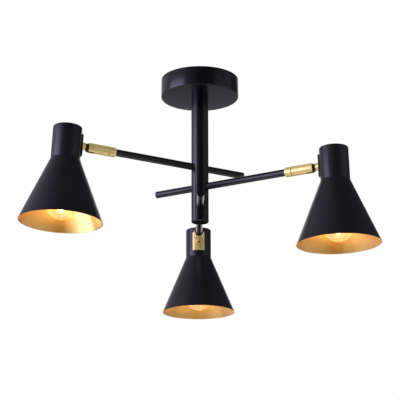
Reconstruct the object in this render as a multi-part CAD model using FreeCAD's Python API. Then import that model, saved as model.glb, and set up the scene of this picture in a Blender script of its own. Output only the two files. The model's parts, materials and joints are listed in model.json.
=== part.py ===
import FreeCAD, Part
import math
import os

from FreeCAD import Placement, Rotation, Vector

# Ceiling light with three thin arms through one stem. Each arm carries a cone shade on a brass swivel.
# Millimetres and degrees. The origin is the centre of the ceiling face, +Z is up and the lamp hangs below.
# A drop is a depth below the ceiling. An azimuth is counted from +X towards +Y, seen from above.

# Canopy and ceiling bracket
canopy_radius = 57.6
canopy_height = 28.1
canopy_wall = 1.2
canopy_edge = 1.0
canopy_screw_azimuth = -51.7
canopy_screw_drop = 10.0
canopy_screw_radius = 1.9
canopy_screw_head_radius = 2.6
canopy_screw_head_height = 0.9
bracket_width = 20.0
bracket_thickness = 1.5
bracket_tab_length = 16.0
bracket_bend_radius = 2.2
ceiling_hole_spacing = 60.0
ceiling_hole_radius = 2.3

# Terminals on the bracket
terminal_length = 30.0
terminal_width = 14.0
terminal_base_height = 5.0
terminal_pole_radius = 4.2
terminal_screw_radius = 1.5
terminal_screw_head_radius = 2.6
terminal_screw_head_height = 1.6
earth_screw_offset = 20.5
earth_screw_radius = 1.9
earth_screw_head_radius = 3.4
earth_screw_head_height = 2.2

# Stem and the hollow bush in its top
stem_radius = 12.7
stem_wall = 1.5
stem_bottom_drop = 220.2
end_cap_thickness = 3.0
end_cap_edge = 0.8
end_cap_spigot_length = 6.0
bush_length = 14.0
bush_thread_radius = 5.0
bush_bore_radius = 3.5
washer_radius = 9.5
washer_thickness = 1.5
locknut_across_flats = 14.0
locknut_height = 4.0
thread_end_length = 2.0

# Arms, each a thin tube through the stem
arm_azimuth = {"left": -147.9, "right": -31.6, "rear": 90.7}
arm_drop = {"left": 137.5, "right": 167.2, "rear": 198.2}
arm_radius = 5.1
arm_wall = 1.0
arm_tail = 75.7
arm_lead_hole_radius = 2.4
plug_flange_thickness = 1.2
plug_spigot_length = 5.0
plug_edge = 0.4

# Swivel: collar with spigot, barrel with fork, and tongue, all on the arm's axis
pivot_distance = 180.8
barrel_radius = 7.0
barrel_length = 32.6
fork_reach = 4.2
fork_corner_radius = 3.8
slot_width = 5.2
slot_depth = 10.0
turned_edge = 0.4
collar_length = 10.4
collar_socket_depth = 7.0
collar_groove = 0.3
spigot_radius = 4.0
spigot_length = 14.0
spigot_end_gap = 0.3
lead_bore_radius = 2.4
stop_groove_distance = 8.0
stop_groove_depth = 1.0
turn_limit = 140.0
set_screw_radius = 1.45
set_screw_recess = 0.25
stop_tip_radius = 1.0
pivot_screw_radius = 1.5
pivot_head_radius = 2.4
pivot_head_height = 1.0
pivot_head_recess = 0.3
tongue_height = 8.8
tongue_wall = 1.1
tongue_flange_distance = 8.7
tongue_flange_radius = 5.4
tongue_flange_length = 4.3
tongue_bore_radius = 2.0
flange_pip_radius = 1.0
flange_pip_depth = 0.8

# Curved brass plate between the tongue and the shade's cup
plate_thickness = 2.2
plate_width = 18.8
plate_top = 15.6
plate_bottom = 16.4
plate_corner_cut = 3.4
plate_screw_up = 9.2
plate_screw_down = 10.8
plate_screw_radius = 1.5
plate_screw_head_radius = 2.3
plate_screw_head_height = 1.0
plate_screw_end_length = 1.0

# Shade, cup and cone in one spun piece. Heights are counted from the tongue's axis
head_tilt = {"left": 2.9, "right": 1.4, "rear": -1.1}
cup_radius = 20.3
cup_top = 22.5
cup_edge_radius = 1.8
cone_start = 24.6
rim_drop = 113.9
rim_radius = 57.5
shade_wall = 0.8

# Lampholder and its bracket inside the cup
holder_strip_thickness = 1.5
holder_strip_width = 15.0
holder_strip_top = 12.8
holder_shelf_drop = 13.5
holder_shelf_end_radius = 8.0
nipple_radius = 4.9
nipple_bore_radius = 3.0
nipple_depth = 8.0
nipple_head_across_flats = 13.0
nipple_head_height = 3.0
holder_shoulder_radius = 9.5
holder_shoulder_drop = 9.0
holder_radius = 12.5
socket_depth = 18.8
socket_gap = 0.35

# Round bulb with an E14 cap
bulb_tip_drop = 32.2
bulb_length = 78.0
bulb_globe_radius = 22.5
bulb_neck_radius = 6.7
bulb_neck_length = 3.2
bulb_glass_wall = 0.8
bulb_cap_radius = 6.95
bulb_cap_rim = 0.6
bulb_cap_length = 25.0
bulb_cap_flare = 0.7
bulb_cap_flare_length = 2.2
bulb_cap_cone_length = 4.2
bulb_contact_radius = 2.2
filament_stem_radius = 1.3
filament_hub_radius = 6.2
filament_hub_thickness = 0.8
filament_stick_radius = 0.9
filament_stick_circle = 5.0
filament_stick_count = 3
filament_top_gap = 18.0
filament_bottom_gap = 14.0

# Clearances
seat_gap = 0.1
running_gap = 0.05
tongue_side_gap = 0.2
screw_gap = 0.1
tap_gap = 0.05

# Worked out from the sizes above
canopy_inner_radius = canopy_radius - canopy_wall
stem_bore_radius = stem_radius - stem_wall
stem_tube_bottom = -stem_bottom_drop + end_cap_thickness
arm_bore_radius = arm_radius - arm_wall
barrel_end = pivot_distance + fork_reach
barrel_start = barrel_end - barrel_length
collar_face = barrel_start - collar_groove
collar_start = collar_face - collar_length
stop_groove_station = collar_face + stop_groove_distance
stop_groove_radius = spigot_radius - stop_groove_depth
tongue_thickness = slot_width - 2 * tongue_side_gap
plate_inner_radius = cup_radius + seat_gap
plate_outer_radius = plate_inner_radius + plate_thickness
cup_distance = tongue_flange_distance + tongue_flange_length + plate_outer_radius
cup_inner_radius = cup_radius - shade_wall
strip_outer_radius = cup_inner_radius - seat_gap
strip_inner_radius = strip_outer_radius - holder_strip_thickness
shelf_top = -holder_shelf_drop
shelf_bottom = shelf_top - holder_strip_thickness
socket_floor = -bulb_tip_drop + seat_gap
socket_radius = bulb_cap_radius + socket_gap
bulb_bottom = -bulb_tip_drop - bulb_length
globe_centre = bulb_bottom + bulb_globe_radius
cap_mouth = -bulb_tip_drop - bulb_cap_length
everything = 2 * (pivot_distance + cup_distance + rim_radius)


def corner_arc(before, corner, after, radius):
    """Start, middle and end of the arc that rounds a corner."""
    back = (before - corner).normalize()
    ahead = (after - corner).normalize()
    half_angle = back.getAngle(ahead) / 2
    run = radius / math.tan(half_angle)
    inward = (back + ahead).normalize()
    middle = corner + inward * (radius / math.sin(half_angle) - radius)
    return corner + back * run, middle, corner + ahead * run


def outline(corners, plane):
    """Closed wire through corners (a, b) or (a, b, rounding), laid in a plane by a function."""
    points = [plane(corner[0], corner[1]) for corner in corners]
    runs = []
    for index, corner in enumerate(corners):
        point = points[index]
        if len(corner) == 3 and corner[2] > 0:
            following = points[(index + 1) % len(points)]
            runs.append(corner_arc(points[index - 1], point, following, corner[2]))
        else:
            runs.append((point, None, point))
    edges = []
    for index, (start, middle, end) in enumerate(runs):
        if middle is not None:
            edges.append(Part.Arc(start, middle, end).toShape())
        next_start = runs[(index + 1) % len(runs)][0]
        if end.distanceToPoint(next_start) > 1e-6:
            edges.append(Part.LineSegment(end, next_start).toShape())
    return Part.Wire(edges)


def upright(a, b):
    return Vector(a, 0, b)


def facing(a, b):
    return Vector(0, a, b)


def level(a, b):
    return Vector(a, b, 0)


def spun(corners):
    """Solid turned about the Z axis from corners (radius, height, rounding)."""
    face = Part.Face(outline(corners, upright))
    return face.revolve(Vector(0, 0, 0), Vector(0, 0, 1), 360)


def turned(corners):
    """Solid turned about the X axis from corners (station, radius, rounding)."""
    face = Part.Face(outline(corners, upright))
    return face.revolve(Vector(0, 0, 0), Vector(1, 0, 0), 360)


def rod(radius, start, end):
    """Round bar between two points."""
    along = end - start
    return Part.makeCylinder(radius, along.Length, start, along)


def block(low, high):
    """Box between two opposite corners."""
    size = high - low
    return Part.makeBox(size.x, size.y, size.z, low)


def hexagon(across_flats, bottom, height):
    """Upright hexagonal prism on the Z axis."""
    sides = 6
    radius = across_flats / 2 / math.cos(math.pi / sides)
    corners = []
    for step in range(sides):
        angle = 2 * math.pi * step / sides
        corners.append((radius * math.cos(angle), radius * math.sin(angle)))
    face = Part.Face(outline(corners, level))
    prism = face.extrude(Vector(0, 0, height))
    prism.translate(Vector(0, 0, bottom))
    return prism


def band(inner_radius, outer_radius, corners):
    """Part of an upright ring, cut to an outline seen along the X axis, on the ring's -X side."""
    face = Part.Face(outline(corners, facing))
    shadow = face.extrude(Vector(-everything, 0, 0))
    low = min(corner[1] for corner in corners)
    high = max(corner[1] for corner in corners)
    ring = spun([(inner_radius, low), (outer_radius, low), (outer_radius, high), (inner_radius, high)])
    return ring.common(shadow)


# Ceiling bracket, canopy and terminals. Bracket pieces lie along X here and are turned to the side screws

def bracket_reach():
    """Distance of the tabs' outer faces from the centre, so that their corners clear the canopy."""
    corner = math.sqrt(canopy_inner_radius ** 2 - (bracket_width / 2) ** 2)
    return corner - 3 * seat_gap


def make_mounting_bracket():
    reach = bracket_reach()
    inside = reach - bracket_thickness
    inner_bend = bracket_bend_radius - bracket_thickness
    strip = [
        (-reach, -bracket_tab_length),
        (-reach, 0, bracket_bend_radius),
        (reach, 0, bracket_bend_radius),
        (reach, -bracket_tab_length),
        (inside, -bracket_tab_length),
        (inside, -bracket_thickness, inner_bend),
        (-inside, -bracket_thickness, inner_bend),
        (-inside, -bracket_tab_length),
    ]
    bracket = Part.Face(outline(strip, upright)).extrude(Vector(0, bracket_width, 0))
    bracket.translate(Vector(0, -bracket_width / 2, 0))
    below = Vector(0, 0, -2 * bracket_thickness)
    above = Vector(0, 0, bracket_thickness)
    holes = [(-ceiling_hole_spacing / 2, ceiling_hole_radius), (ceiling_hole_spacing / 2, ceiling_hole_radius)]
    holes.append((terminal_screw_offset(), terminal_screw_radius + tap_gap))
    holes.append((-earth_screw_offset, earth_screw_radius + tap_gap))
    for station, radius in holes:
        across = Vector(station, 0, 0)
        bracket = bracket.cut(rod(radius, across + below, across + above))
    side = Vector(reach + canopy_wall, 0, -canopy_screw_drop)
    bracket = bracket.cut(rod(canopy_screw_radius + tap_gap, side - Vector(2 * side.x, 0, 0), side))
    return bracket


def make_canopy():
    hole = bush_thread_radius + 2 * seat_gap
    floor = -canopy_height + canopy_wall
    canopy = spun([
        (hole, -canopy_height),
        (canopy_radius - canopy_edge, -canopy_height),
        (canopy_radius, -canopy_height + canopy_edge),
        (canopy_radius, 0),
        (canopy_inner_radius, 0),
        (canopy_inner_radius, floor),
        (hole, floor),
    ])
    side = Vector(canopy_radius + canopy_wall, 0, -canopy_screw_drop)
    return canopy.cut(rod(canopy_screw_radius + screw_gap, side - Vector(2 * side.x, 0, 0), side))


def make_canopy_screw():
    head_bottom = canopy_radius
    head_top = canopy_radius + canopy_screw_head_height
    end = bracket_reach() - 2 * bracket_thickness
    height = -canopy_screw_drop
    shank = rod(canopy_screw_radius, Vector(end, 0, height), Vector(head_bottom, 0, height))
    head = rod(canopy_screw_head_radius, Vector(head_bottom, 0, height), Vector(head_top, 0, height))
    return shank.fuse(head).removeSplitter()


def terminal_pitch():
    return terminal_length / 3


def terminal_screw_offset():
    return terminal_pitch() / 2


def make_terminal_block():
    top = -bracket_thickness
    base = block(
        Vector(-terminal_length / 2, -terminal_width / 2, top - terminal_base_height),
        Vector(terminal_length / 2, terminal_width / 2, top),
    )
    pole_height = top - terminal_base_height - terminal_pole_radius / 2
    terminal = base
    for step in (-1, 0, 1):
        station = step * terminal_pitch()
        front = Vector(station, -terminal_width / 2, pole_height)
        back = Vector(station, terminal_width / 2, pole_height)
        terminal = terminal.fuse(rod(terminal_pole_radius, front, back))
    terminal = terminal.removeSplitter()
    station = terminal_screw_offset()
    low = Vector(station, 0, -everything)
    well = rod(terminal_screw_head_radius + screw_gap, low, Vector(station, 0, terminal_seat()))
    hole = rod(terminal_screw_radius + screw_gap, low, Vector(station, 0, 0))
    return terminal.cut(well).cut(hole)


def terminal_seat():
    """Height of the face under the terminal block's fixing screw head."""
    return -bracket_thickness - terminal_base_height / 2


def make_terminal_screw():
    station = terminal_screw_offset()
    seat = Vector(station, 0, terminal_seat())
    shank = rod(terminal_screw_radius, seat, Vector(station, 0, -seat_gap))
    head = rod(terminal_screw_head_radius, seat - Vector(0, 0, terminal_screw_head_height), seat)
    return shank.fuse(head).removeSplitter()


def make_earth_screw():
    seat = Vector(-earth_screw_offset, 0, -bracket_thickness)
    shank = rod(earth_screw_radius, seat, Vector(-earth_screw_offset, 0, -seat_gap))
    head = rod(earth_screw_head_radius, seat - Vector(0, 0, earth_screw_head_height), seat)
    return shank.fuse(head).removeSplitter()


# Stem

def make_stem_tube():
    tube = spun([
        (stem_bore_radius, stem_tube_bottom),
        (stem_radius, stem_tube_bottom),
        (stem_radius, -canopy_height),
        (stem_bore_radius, -canopy_height),
    ])
    for name in arm_drop:
        cross = rod(arm_radius + seat_gap, Vector(-everything, 0, 0), Vector(everything, 0, 0))
        tube = tube.cut(on_arm(name, cross))
    return tube


def make_stem_bush():
    """Hollow bush held in the stem's top, with a thread that goes up through the canopy."""
    body_radius = stem_bore_radius - seat_gap
    thread_top = locknut_bottom() + locknut_height + thread_end_length
    return spun([
        (bush_bore_radius, -canopy_height - bush_length),
        (body_radius, -canopy_height - bush_length),
        (body_radius, -canopy_height),
        (bush_thread_radius, -canopy_height),
        (bush_thread_radius, thread_top),
        (bush_bore_radius, thread_top),
    ])


def locknut_bottom():
    return -canopy_height + canopy_wall + washer_thickness


def make_stem_washer():
    bottom = -canopy_height + canopy_wall
    top = bottom + washer_thickness
    hole = bush_thread_radius + 2 * seat_gap
    return spun([(hole, bottom), (washer_radius, bottom), (washer_radius, top), (hole, top)])


def make_stem_locknut():
    nut = hexagon(locknut_across_flats, locknut_bottom(), locknut_height)
    low = Vector(0, 0, locknut_bottom() - locknut_height)
    high = Vector(0, 0, locknut_bottom() + 2 * locknut_height)
    return nut.cut(rod(bush_thread_radius + tap_gap, low, high))


def make_stem_end_cap():
    spigot = stem_bore_radius - seat_gap
    top = stem_tube_bottom + end_cap_spigot_length
    return spun([
        (0, -stem_bottom_drop),
        (stem_radius - end_cap_edge, -stem_bottom_drop),
        (stem_radius, -stem_bottom_drop + end_cap_edge),
        (stem_radius, stem_tube_bottom),
        (spigot, stem_tube_bottom),
        (spigot, top),
        (spigot - stem_wall, top),
        (spigot - stem_wall, stem_tube_bottom),
        (0, stem_tube_bottom),
    ])


# Arms. X runs out along the arm from the stem's axis

def on_arm(name, shape):
    """Place a shape that is drawn along an arm lying on the X axis."""
    turn = Rotation(Vector(0, 0, 1), arm_azimuth[name])
    placed = shape.copy()
    placed.Placement = Placement(Vector(0, 0, -arm_drop[name]), turn).multiply(placed.Placement)
    return placed


def make_arm_tube():
    start = -arm_tail + plug_flange_thickness
    end = collar_start + collar_socket_depth
    tube = turned([
        (start, arm_bore_radius),
        (end, arm_bore_radius),
        (end, arm_radius),
        (start, arm_radius),
    ])
    return tube.cut(rod(arm_lead_hole_radius, Vector(0, 0, 0), Vector(0, 0, 2 * arm_radius)))


def make_arm_plug():
    face = -arm_tail
    shoulder = face + plug_flange_thickness
    spigot = arm_bore_radius - seat_gap
    return turned([
        (face, 0),
        (face, arm_radius - plug_edge),
        (face + plug_edge, arm_radius),
        (shoulder, arm_radius),
        (shoulder, spigot),
        (shoulder + plug_spigot_length, spigot),
        (shoulder + plug_spigot_length, 0),
    ])


def make_collar():
    """Collar fixed on the arm's end, with the hollow spigot that carries the barrel."""
    socket_end = collar_start + collar_socket_depth
    spigot_end = collar_face + spigot_length
    socket = arm_radius + seat_gap
    collar = turned([
        (collar_start, socket),
        (collar_start, barrel_radius - turned_edge),
        (collar_start + turned_edge, barrel_radius),
        (collar_face - turned_edge, barrel_radius),
        (collar_face, barrel_radius - turned_edge),
        (collar_face, spigot_radius),
        (spigot_end, spigot_radius),
        (spigot_end, lead_bore_radius),
        (socket_end, lead_bore_radius),
        (socket_end, socket),
    ])
    collar = collar.cut(stop_groove())
    station = set_screw_station()
    hole = rod(set_screw_radius + tap_gap, Vector(station, 0, 0), Vector(station, 0, 2 * barrel_radius))
    return collar.cut(hole)


def stop_groove():
    """Groove round the spigot. What is left of it below is the stop for both ends of the turn."""
    half_width = stop_tip_radius + 3 * seat_gap
    start = stop_groove_station - half_width
    end = stop_groove_station + half_width
    outside = 2 * spigot_radius
    ring = turned([
        (start, stop_groove_radius),
        (end, stop_groove_radius),
        (end, outside),
        (start, outside),
    ])
    tip_half_angle = math.degrees(math.asin((stop_tip_radius + running_gap) / stop_groove_radius))
    stop_half_angle = math.radians(180 - turn_limit - tip_half_angle)
    reach = 2 * spigot_radius
    foot = -reach * math.cos(stop_half_angle)
    side = reach * math.sin(stop_half_angle)
    stop = Part.Face(outline([(0, 0), (-side, foot), (side, foot)], facing)).extrude(Vector(everything, 0, 0))
    return ring.cut(stop)


def set_screw_station():
    return collar_start + collar_socket_depth / 2


def make_collar_set_screw():
    station = set_screw_station()
    top = barrel_radius - set_screw_recess
    return rod(set_screw_radius, Vector(station, 0, arm_radius + seat_gap), Vector(station, 0, top))


def make_barrel():
    """Barrel that turns on the spigot, with a fork for the tongue at its outer end."""
    bore = spigot_radius + running_gap
    bore_end = collar_face + spigot_length + spigot_end_gap
    barrel = turned([
        (barrel_start, bore),
        (barrel_start, barrel_radius - turned_edge),
        (barrel_start + turned_edge, barrel_radius),
        (barrel_end - turned_edge, barrel_radius),
        (barrel_end, barrel_radius - turned_edge),
        (barrel_end, lead_bore_radius),
        (bore_end, lead_bore_radius),
        (bore_end, bore),
    ])
    side_view = Part.Face(outline([
        (barrel_start, -barrel_radius),
        (barrel_end, -barrel_radius, fork_corner_radius),
        (barrel_end, barrel_radius, fork_corner_radius),
        (barrel_start, barrel_radius),
    ], upright))
    rounded = side_view.extrude(Vector(0, 2 * barrel_radius, 0))
    rounded.translate(Vector(0, -barrel_radius, 0))
    barrel = barrel.common(rounded)
    slot = block(
        Vector(barrel_end - slot_depth, -slot_width / 2, -2 * barrel_radius),
        Vector(barrel_end + slot_depth, slot_width / 2, 2 * barrel_radius),
    )
    barrel = barrel.cut(slot)
    across = Vector(0, 2 * barrel_radius, 0)
    pivot = Vector(pivot_distance, 0, 0)
    barrel = barrel.cut(rod(pivot_screw_radius + tap_gap, pivot - across, pivot + across))
    for side in (-1, 1):
        seat = pivot + Vector(0, side * pivot_head_seat(), 0)
        barrel = barrel.cut(rod(pivot_head_radius + screw_gap, seat, pivot + across * side))
    hole_foot = Vector(stop_groove_station, 0, 0)
    hole_top = Vector(stop_groove_station, 0, 2 * barrel_radius)
    return barrel.cut(rod(set_screw_radius + tap_gap, hole_foot, hole_top))


def pivot_head_seat():
    """Distance from the arm's axis to the face under a pivot screw's head."""
    return barrel_radius - pivot_head_recess - pivot_head_height


def make_stop_screw():
    """Set-screw with a turned tip that runs in the spigot's groove."""
    station = stop_groove_station
    top = barrel_radius - set_screw_recess
    shoulder = spigot_radius + 2 * running_gap
    tip = rod(
        stop_tip_radius,
        Vector(station, 0, stop_groove_radius + 2 * seat_gap),
        Vector(station, 0, shoulder),
    )
    body = rod(set_screw_radius, Vector(station, 0, shoulder), Vector(station, 0, top))
    return tip.fuse(body).removeSplitter()


def make_pivot_screw(side):
    """Stub screw through one cheek of the fork, with its plain end in the tongue's wall."""
    inner = tongue_channel_half_width() + running_gap
    seat = pivot_head_seat()
    top = seat + pivot_head_height
    shank = rod(pivot_screw_radius, Vector(0, inner, 0), Vector(0, seat, 0))
    head = rod(pivot_head_radius, Vector(0, seat, 0), Vector(0, top, 0))
    screw = shank.fuse(head).removeSplitter()
    screw.translate(Vector(pivot_distance, 0, 0))
    if side < 0:
        screw = screw.mirror(Vector(0, 0, 0), Vector(0, 1, 0))
    return screw


# Heads. The origin is the pivot, X runs out along the tongue and the shade hangs down

def on_head(name, shape):
    """Place a shape that is drawn on the pivot, with the head's tilt."""
    placed = shape.copy()
    tilt = Placement(Vector(pivot_distance, 0, 0), Rotation(Vector(0, -1, 0), head_tilt[name]))
    placed.Placement = tilt.multiply(placed.Placement)
    return on_arm(name, placed)


def on_cup(shape):
    """Move a shape that is drawn about the cup's own axis out to that axis."""
    moved = shape.copy()
    moved.translate(Vector(cup_distance, 0, 0))
    return moved


def tongue_channel_half_width():
    return tongue_thickness / 2 - tongue_wall


def make_tongue():
    """Tongue with a round eye, hollow for the leads, and a round flange that seats on the plate."""
    eye_radius = tongue_height / 2
    half = tongue_thickness / 2
    eye = rod(eye_radius, Vector(0, -half, 0), Vector(0, half, 0))
    neck = block(Vector(0, -half, -eye_radius), Vector(tongue_flange_distance, half, eye_radius))
    end = Vector(cup_distance, 0, 0)
    flange = rod(tongue_flange_radius, Vector(tongue_flange_distance, 0, 0), end)
    saddle = rod(plate_outer_radius, Vector(cup_distance, 0, -everything), Vector(cup_distance, 0, everything))
    tongue = eye.fuse(neck).fuse(flange.cut(saddle)).removeSplitter()
    channel_half = tongue_channel_half_width()
    channel = block(
        Vector(-2 * eye_radius, -channel_half, -tongue_bore_radius),
        Vector(tongue_flange_distance, channel_half, tongue_bore_radius),
    )
    tongue = tongue.cut(channel)
    tongue = tongue.cut(rod(tongue_bore_radius, Vector(tongue_flange_distance / 2, 0, 0), end))
    across = Vector(0, tongue_thickness, 0)
    tongue = tongue.cut(rod(pivot_screw_radius + running_gap, -across, across))
    return tongue.cut(flange_pip())


def flange_pip():
    """Shallow round pip in the flange's rim, below, where its thread is locked."""
    station = tongue_flange_distance + tongue_flange_length / 2
    low = Vector(station, 0, -2 * tongue_flange_radius)
    high = Vector(station, 0, -tongue_flange_radius + flange_pip_depth)
    return rod(flange_pip_radius, low, high)


def make_plate():
    half = plate_width / 2
    shoulder = plate_top - plate_corner_cut
    plate = band(plate_inner_radius, plate_outer_radius, [
        (-half, -plate_bottom),
        (half, -plate_bottom),
        (half, shoulder),
        (half - plate_corner_cut, plate_top),
        (-half + plate_corner_cut, plate_top),
        (-half, shoulder),
    ])
    plate = plate.cut(side_hole(tongue_bore_radius, 0))
    for height in plate_screw_heights():
        plate = plate.cut(side_hole(plate_screw_radius + screw_gap, height))
    return on_cup(plate)


def plate_screw_heights():
    return (plate_screw_up, -plate_screw_down)


def side_hole(radius, height):
    """Bar through the side of the cup that faces the arm, about the cup's own axis."""
    return rod(radius, Vector(-2 * cup_radius, 0, height), Vector(0, 0, height))


def make_plate_screw(height):
    """Cheese-head screw through plate, cup and inner strip."""
    seat = -plate_outer_radius
    end = -strip_inner_radius + plate_screw_end_length
    top = seat - plate_screw_head_height
    shank = rod(plate_screw_radius, Vector(seat, 0, height), Vector(end, 0, height))
    head = rod(plate_screw_head_radius, Vector(top, 0, height), Vector(seat, 0, height))
    return on_cup(shank.fuse(head).removeSplitter())


def make_shade():
    """Cup and cone spun from one sheet, open at the rim."""
    flare = math.atan2(rim_radius - cup_radius, rim_drop - cone_start)
    inner_rim = rim_radius - shade_wall / math.cos(flare)
    inner_start = -rim_drop + (inner_rim - cup_inner_radius) / math.tan(flare)
    shade = spun([
        (0, cup_top),
        (cup_radius, cup_top, cup_edge_radius),
        (cup_radius, -cone_start),
        (rim_radius, -rim_drop),
        (inner_rim, -rim_drop),
        (cup_inner_radius, inner_start),
        (cup_inner_radius, cup_top - cup_edge_radius),
        (cup_radius - cup_edge_radius, cup_top - shade_wall),
        (0, cup_top - shade_wall),
    ])
    shade = shade.cut(side_hole(tongue_bore_radius + screw_gap, 0))
    for height in plate_screw_heights():
        shade = shade.cut(side_hole(plate_screw_radius + screw_gap, height))
    return on_cup(shade)


def make_holder_bracket():
    """Strip along the cup's inside wall, bent to a shelf that carries the lampholder."""
    half = holder_strip_width / 2
    strip = band(strip_inner_radius, strip_outer_radius, [
        (-half, shelf_bottom),
        (half, shelf_bottom),
        (half, holder_strip_top),
        (-half, holder_strip_top),
    ])
    shelf = block(Vector(-everything, -half, shelf_bottom), Vector(0, half, shelf_top))
    shelf = shelf.fuse(rod(holder_shelf_end_radius, Vector(0, 0, shelf_bottom), Vector(0, 0, shelf_top)))
    shelf = shelf.common(rod(strip_outer_radius, Vector(0, 0, shelf_bottom), Vector(0, 0, shelf_top)))
    bracket = strip.fuse(shelf).removeSplitter()
    low = Vector(0, 0, shelf_bottom - holder_strip_thickness)
    high = Vector(0, 0, shelf_top + holder_strip_thickness)
    bracket = bracket.cut(rod(nipple_radius + screw_gap, low, high))
    bracket = bracket.cut(side_hole(tongue_bore_radius + screw_gap, 0))
    for height in plate_screw_heights():
        bracket = bracket.cut(side_hole(plate_screw_radius + tap_gap, height))
    return on_cup(bracket)


def make_nipple():
    """Hollow hexagon-head bolt that hangs the lampholder from the shelf."""
    head = hexagon(nipple_head_across_flats, shelf_top, nipple_head_height)
    thread = rod(nipple_radius, Vector(0, 0, shelf_bottom - nipple_depth), Vector(0, 0, shelf_top))
    low = Vector(0, 0, shelf_bottom - 2 * nipple_depth)
    high = Vector(0, 0, shelf_top + 2 * nipple_head_height)
    nipple = head.fuse(thread).removeSplitter().cut(rod(nipple_bore_radius, low, high))
    return on_cup(nipple)


def make_lampholder():
    thread = nipple_radius + tap_gap
    thread_end = shelf_bottom - nipple_depth - 3 * seat_gap
    skirt_top = shelf_bottom - holder_shoulder_drop
    mouth = socket_floor - socket_depth
    holder = spun([
        (thread, shelf_bottom),
        (holder_shoulder_radius, shelf_bottom),
        (holder_radius, skirt_top),
        (holder_radius, mouth),
        (socket_radius, mouth),
        (socket_radius, socket_floor),
        (0, socket_floor),
        (0, thread_end),
        (thread, thread_end),
    ])
    return on_cup(holder)


def make_bulb_cap():
    """Metal cap with its contact at the tip and a flared mouth that holds the glass neck."""
    tip = -bulb_tip_drop
    floor = cap_mouth + bulb_cap_flare_length
    neck_fit = bulb_neck_radius + seat_gap
    flare_radius = neck_fit + bulb_cap_rim
    cap = spun([
        (0, tip),
        (bulb_contact_radius, tip),
        (bulb_cap_radius, tip - bulb_cap_cone_length),
        (bulb_cap_radius, floor + bulb_cap_flare),
        (flare_radius, floor),
        (flare_radius, cap_mouth),
        (neck_fit, cap_mouth),
        (neck_fit, floor),
        (0, floor),
    ])
    return on_cup(cap)


def globe_profile(radius, neck, neck_top, neck_end):
    """Edges of half a bulb: straight neck, then a cone tangent to the globe, then the globe's arc."""
    centre = Vector(0, 0, globe_centre)
    corner = Vector(neck, 0, neck_end)
    reach = corner.distanceToPoint(centre)
    lean = math.atan2(corner.x - centre.x, corner.z - centre.z)
    touch_angle = lean + math.acos(radius / reach)
    touch = centre + Vector(math.sin(touch_angle), 0, math.cos(touch_angle)) * radius
    mid_angle = (touch_angle + math.pi) / 2
    middle = centre + Vector(math.sin(mid_angle), 0, math.cos(mid_angle)) * radius
    bottom = centre - Vector(0, 0, radius)
    return [
        Part.LineSegment(Vector(neck, 0, neck_top), corner).toShape(),
        Part.LineSegment(corner, touch).toShape(),
        Part.Arc(touch, middle, bottom).toShape(),
    ]


def make_bulb_glass():
    neck_top = cap_mouth + bulb_cap_flare_length
    neck_end = cap_mouth - bulb_neck_length
    inner_radius = bulb_globe_radius - bulb_glass_wall
    inner_neck = bulb_neck_radius - bulb_glass_wall
    outer = globe_profile(bulb_globe_radius, bulb_neck_radius, neck_top, neck_end)
    inner = globe_profile(inner_radius, inner_neck, neck_top, neck_end)
    top = Part.LineSegment(Vector(inner_neck, 0, neck_top), Vector(bulb_neck_radius, 0, neck_top)).toShape()
    outer_bottom = Vector(0, 0, globe_centre - bulb_globe_radius)
    inner_bottom = Vector(0, 0, globe_centre - inner_radius)
    bottom = Part.LineSegment(outer_bottom, inner_bottom).toShape()
    wire = Part.Wire(Part.__sortEdges__(outer + inner + [top, bottom]))
    glass = Part.Face(wire).revolve(Vector(0, 0, 0), Vector(0, 0, 1), 360)
    return on_cup(glass)


def make_filament():
    """Mount with a disc in the neck, a stem, two hubs and the lit sticks between them."""
    seat_top = cap_mouth + bulb_cap_flare_length
    seat_bottom = seat_top - filament_hub_thickness
    upper_hub = seat_bottom - filament_top_gap
    lower_hub = globe_centre - filament_bottom_gap + filament_hub_thickness
    seat_radius = bulb_neck_radius - bulb_glass_wall - seat_gap
    mount = spun([
        (0, seat_top),
        (seat_radius, seat_top),
        (seat_radius, seat_bottom),
        (filament_stem_radius, seat_bottom),
        (filament_stem_radius, upper_hub),
        (filament_hub_radius, upper_hub),
        (filament_hub_radius, upper_hub - filament_hub_thickness),
        (filament_stem_radius, upper_hub - filament_hub_thickness),
        (filament_stem_radius, lower_hub),
        (filament_hub_radius, lower_hub),
        (filament_hub_radius, lower_hub - filament_hub_thickness),
        (0, lower_hub - filament_hub_thickness),
    ])
    for step in range(filament_stick_count):
        angle = math.radians(360 * step / filament_stick_count)
        x = filament_stick_circle * math.cos(angle)
        y = filament_stick_circle * math.sin(angle)
        mount = mount.fuse(rod(filament_stick_radius, Vector(x, y, lower_hub), Vector(x, y, upper_hub)))
    return on_cup(mount.removeSplitter())


def turned_to_screws(shape):
    """Turn a shape that is drawn along X to the line of the canopy's side screws."""
    placed = shape.copy()
    turn = Placement(Vector(0, 0, 0), Rotation(Vector(0, 0, 1), canopy_screw_azimuth))
    placed.Placement = turn.multiply(placed.Placement)
    return placed


def save(name, shape):
    shape.exportStep("parts/%s.step" % name)


def save_group(name, shapes):
    save(name, Part.makeCompound(shapes))


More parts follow.
